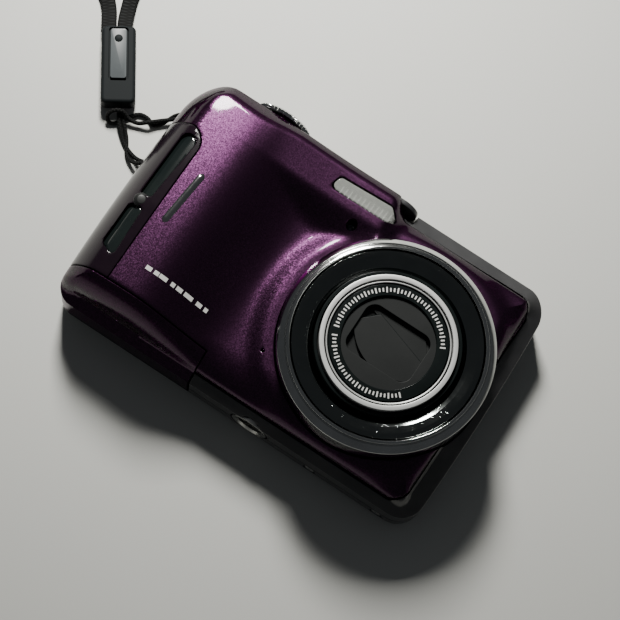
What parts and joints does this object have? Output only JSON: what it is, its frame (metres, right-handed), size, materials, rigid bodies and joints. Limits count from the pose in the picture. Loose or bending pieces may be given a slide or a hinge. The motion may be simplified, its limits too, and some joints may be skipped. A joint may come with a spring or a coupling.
{
  "type": "compact digital camera",
  "caption": "Compact point-and-shoot camera: telescoping lens with blade barrier, hand grip, mode dial, rear screen and buttons, battery door and wrist strap.",
  "frame": {"origin": "centre of the camera's outline without its strap, on the plane its screen rim lies on", "axes": "+X towards the lens side, +Y towards the camera's top with its dial, +Z along the lens axis, out of the lens"},
  "size_m": [0.1686, 0.1197, 0.028],
  "materials": {
    "purple_lacquer": "metallic-flake lacquer",
    "grey_plastic": "fine satin grain",
    "black_plastic": "satin",
    "black_rubber": "soft matte grip",
    "bright_chrome": "mirror polished plating",
    "dark_chrome": "smoked plating",
    "barrier_metal": "dark blackened sheet",
    "satin_silver": "satin",
    "clear_plastic": "clear, faintly ribbed",
    "lens_glass": "coated",
    "screen_glass": "polished clear cover over black",
    "spring_steel": "plated",
    "circuit_board": "solder mask",
    "cell_jacket": "printed-free satin jacket",
    "black_cord": "woven"
  },
  "bodies": {
    "casing": {"front_cover": "purple_lacquer", "middle_frame": "grey_plastic", "rear_cover": "grey_plastic", "top_plate": "satin_silver", "grip_inlay": "black_rubber", "flash_window": "clear_plastic", "flash_reflector": "bright_chrome", "flash_tube": "lens_glass", "flash_capacitor": "black_plastic", "af_lamp": "lens_glass", "lcd_window": "screen_glass", "lcd_panel": "screen_glass", "main_board": "circuit_board", "button_board": "circuit_board", "image_sensor": "black_plastic", "zoom_motor": "spring_steel", "usb_socket": "spring_steel", "lens_ring": "bright_chrome", "lens_dish": "dark_chrome", "lens_base": "black_plastic", "battery_cell_1": "cell_jacket", "battery_cell_2": "cell_jacket", "contact_spring_1": "spring_steel", "contact_spring_2": "spring_steel", "contact_board": "circuit_board", "tripod_socket": "spring_steel", "case_screw_1": "spring_steel", "case_screw_2": "spring_steel", "strap_cord": "black_cord", "strap_slider": "black_plastic", "slider_plate": "satin_silver", "strap_band_a": "black_cord", "strap_band_b": "black_cord", "strap_coil": "black_cord"},
    "outer_barrel": {"barrel_outer": "black_plastic"},
    "middle_barrel": {"barrel_middle": "satin_silver"},
    "inner_barrel": {"barrel_inner": "black_plastic", "front_bezel": "black_plastic", "window_frame": "grey_plastic", "lens_group": "grey_plastic", "front_lens": "lens_glass"},
    "upper_blade": {"barrier_upper": "barrier_metal"},
    "lower_blade": {"barrier_lower": "barrier_metal"},
    "mode_dial": {"mode_dial": "bright_chrome"},
    "shutter_button": {"shutter_button": "satin_silver"},
    "power_button": {"power_button": "grey_plastic"},
    "flash_button": {"flash_button": "grey_plastic"},
    "delete_button": {"delete_button": "grey_plastic"},
    "menu_button": {"menu_button": "grey_plastic"},
    "info_button": {"info_button": "grey_plastic"},
    "review_button": {"review_button": "grey_plastic"},
    "share_button": {"share_button": "grey_plastic"},
    "four_way_pad": {"four_way_pad": "grey_plastic"},
    "ok_button": {"ok_button": "satin_silver"},
    "zoom_rocker": {"zoom_rocker": "grey_plastic"},
    "door_runner": {"door_hinge_pin": "spring_steel"},
    "door": {"battery_door": "purple_lacquer", "door_contact": "spring_steel"}
  },
  "joints": [
    {"name": "outer_barrel_slide", "type": "slide", "parent": "casing", "child": "outer_barrel", "axis": [0, 0, 1], "range_m": [0, 0.008]},
    {"name": "middle_barrel_slide", "type": "slide", "parent": "outer_barrel", "child": "middle_barrel", "axis": [0, 0, 1], "range_m": [0, 0.008]},
    {"name": "inner_barrel_slide", "type": "slide", "parent": "middle_barrel", "child": "inner_barrel", "axis": [0, 0, 1], "range_m": [0, 0.008]},
    {"name": "upper_blade_pivot", "type": "hinge", "parent": "inner_barrel", "child": "upper_blade", "pos_m": [0.0114, 0.0029, 0.0243], "axis": [0, 0, 1], "range_deg": [0, 18]},
    {"name": "lower_blade_pivot", "type": "hinge", "parent": "inner_barrel", "child": "lower_blade", "pos_m": [0.0335, -0.0043, 0.02515], "axis": [0, 0, 1], "range_deg": [0, 30]},
    {"name": "mode_dial_turn", "type": "hinge", "parent": "casing", "child": "mode_dial", "pos_m": [-0.0268, 0.0311, 0.014], "axis": [0, 1, 0], "continuous": true},
    {"name": "shutter_press", "type": "slide", "parent": "casing", "child": "shutter_button", "axis": [0, -1, 0], "range_m": [0, 0.0008], "stiffness_N_per_m": 400},
    {"name": "power_press", "type": "slide", "parent": "casing", "child": "power_button", "axis": [0, -1, 0], "range_m": [0, 0.0006], "stiffness_N_per_m": 400},
    {"name": "flash_press", "type": "slide", "parent": "casing", "child": "flash_button", "axis": [0, -1, 0], "range_m": [0, 0.0006], "stiffness_N_per_m": 400},
    {"name": "delete_press", "type": "slide", "parent": "casing", "child": "delete_button", "axis": [0, 0, 1], "range_m": [0, 0.0004], "stiffness_N_per_m": 400},
    {"name": "menu_press", "type": "slide", "parent": "casing", "child": "menu_button", "axis": [0, 0, 1], "range_m": [0, 0.0004], "stiffness_N_per_m": 400},
    {"name": "info_press", "type": "slide", "parent": "casing", "child": "info_button", "axis": [0, 0, 1], "range_m": [0, 0.0004], "stiffness_N_per_m": 400},
    {"name": "review_press", "type": "slide", "parent": "casing", "child": "review_button", "axis": [0, 0, 1], "range_m": [0, 0.0004], "stiffness_N_per_m": 400},
    {"name": "share_press", "type": "slide", "parent": "casing", "child": "share_button", "axis": [0, 0, 1], "range_m": [0, 0.0004], "stiffness_N_per_m": 400},
    {"name": "ok_press", "type": "slide", "parent": "casing", "child": "ok_button", "axis": [0, 0, 1], "range_m": [0, 0.0004], "stiffness_N_per_m": 400},
    {"name": "pad_rock", "type": "hinge", "parent": "casing", "child": "four_way_pad", "pos_m": [-0.032, -0.0053, 0.0017], "axis": [1, 0, 0], "range_deg": [-2.5, 2.5], "stiffness_Nm_per_rad": 0.1},
    {"name": "zoom_rock", "type": "hinge", "parent": "casing", "child": "zoom_rocker", "pos_m": [-0.032, 0.0227, 0.0017], "axis": [0, 1, 0], "range_deg": [-3, 3], "stiffness_Nm_per_rad": 0.06},
    {"name": "door_slide", "type": "slide", "parent": "casing", "child": "door_runner", "axis": [0, 0, 1], "range_m": [0, 0.003]},
    {"name": "door_swing", "type": "hinge", "parent": "door_runner", "child": "door", "pos_m": [-0.03, -0.0306, 0.00545], "axis": [1, 0, 0], "range_deg": [0, 90]}
  ],
  "couplings": [
    {"joint": "middle_barrel_slide", "follows": "outer_barrel_slide", "ratio": 1},
    {"joint": "inner_barrel_slide", "follows": "outer_barrel_slide", "ratio": 1},
    {"joint": "upper_blade_pivot", "follows": "outer_barrel_slide", "rad_per_m": 39.26},
    {"joint": "lower_blade_pivot", "follows": "outer_barrel_slide", "rad_per_m": 65.44}
  ]
}
